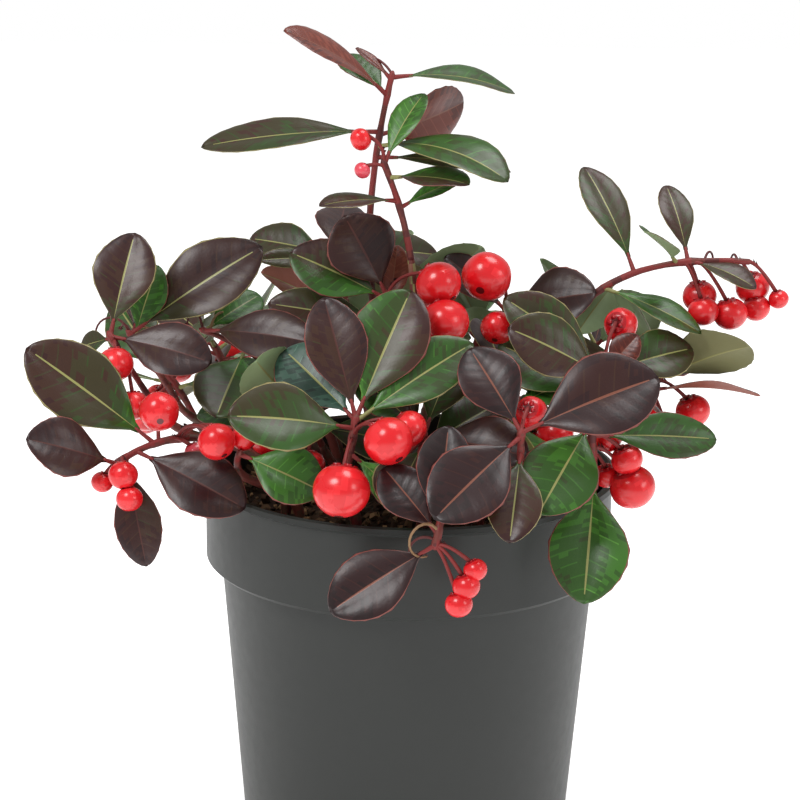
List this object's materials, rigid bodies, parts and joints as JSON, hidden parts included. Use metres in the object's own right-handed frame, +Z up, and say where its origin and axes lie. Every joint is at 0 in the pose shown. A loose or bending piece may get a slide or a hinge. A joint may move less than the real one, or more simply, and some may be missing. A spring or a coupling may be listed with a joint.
{
  "type": "potted plant",
  "caption": "Low evergreen wintergreen shrub with oval leathery leaves and hanging round red berries, growing as a dense clump out of a plain round tapered nursery pot",
  "frame": {"origin": "middle of the pot's flat underside, on the ground", "axes": "+Z up along the pot's turning axis, -Y towards the side seen in the picture, +X to its right"},
  "size_m": [0.2124, 0.1842, 0.2363],
  "materials": {
    "pot_plastic": "matte, with a soft sheen",
    "soil_peat": "rough, crumbly",
    "stem_bark": "smooth thin bark",
    "leaf_foliage": "glossy, leathery"
  },
  "bodies": {
    "root": {"pot": "pot_plastic", "soil": "soil_peat", "stem_over_rim": "stem_bark", "stem_front_middle": "stem_bark", "stem_front_left": "stem_bark", "stem_front_right": "stem_bark", "stem_left_low": "stem_bark", "stem_left_middle": "stem_bark", "stem_low_left": "stem_bark", "stem_right_middle": "stem_bark", "stem_middle_left": "stem_bark", "stem_middle": "stem_bark", "stem_middle_right": "stem_bark", "stem_left_high": "stem_bark", "stem_second": "stem_bark", "stem_top": "stem_bark", "stem_right": "stem_bark", "stem_back_middle": "stem_bark", "stem_right_back": "stem_bark", "stem_right_side": "stem_bark", "stem_back_right": "stem_bark", "stem_back_left": "stem_bark", "stem_left_back": "stem_bark", "stem_left_side": "stem_bark", "stem_back_rim_right": "stem_bark", "stem_back_rim_left": "stem_bark", "stem_inner_left": "stem_bark", "stem_inner_right": "stem_bark", "stem_inner_front": "stem_bark", "stem_inner_back": "stem_bark", "foliage_over_rim": "leaf_foliage", "foliage_front_middle": "leaf_foliage", "foliage_front_left": "leaf_foliage", "foliage_front_right": "leaf_foliage", "foliage_left_low": "leaf_foliage", "foliage_left_middle": "leaf_foliage", "foliage_low_left": "leaf_foliage", "foliage_right_middle": "leaf_foliage", "foliage_middle_left": "leaf_foliage", "foliage_middle": "leaf_foliage", "foliage_middle_right": "leaf_foliage", "foliage_left_high": "leaf_foliage", "foliage_second": "leaf_foliage", "foliage_top": "leaf_foliage", "foliage_right": "leaf_foliage", "foliage_back_middle": "leaf_foliage", "foliage_right_back": "leaf_foliage", "foliage_right_side": "leaf_foliage", "foliage_back_right": "leaf_foliage", "foliage_back_left": "leaf_foliage", "foliage_left_back": "leaf_foliage", "foliage_left_side": "leaf_foliage", "foliage_back_rim_right": "leaf_foliage", "foliage_back_rim_left": "leaf_foliage", "foliage_inner_left": "leaf_foliage", "foliage_inner_right": "leaf_foliage", "foliage_inner_front": "leaf_foliage", "foliage_inner_back": "leaf_foliage"}
  },
  "joints": []
}
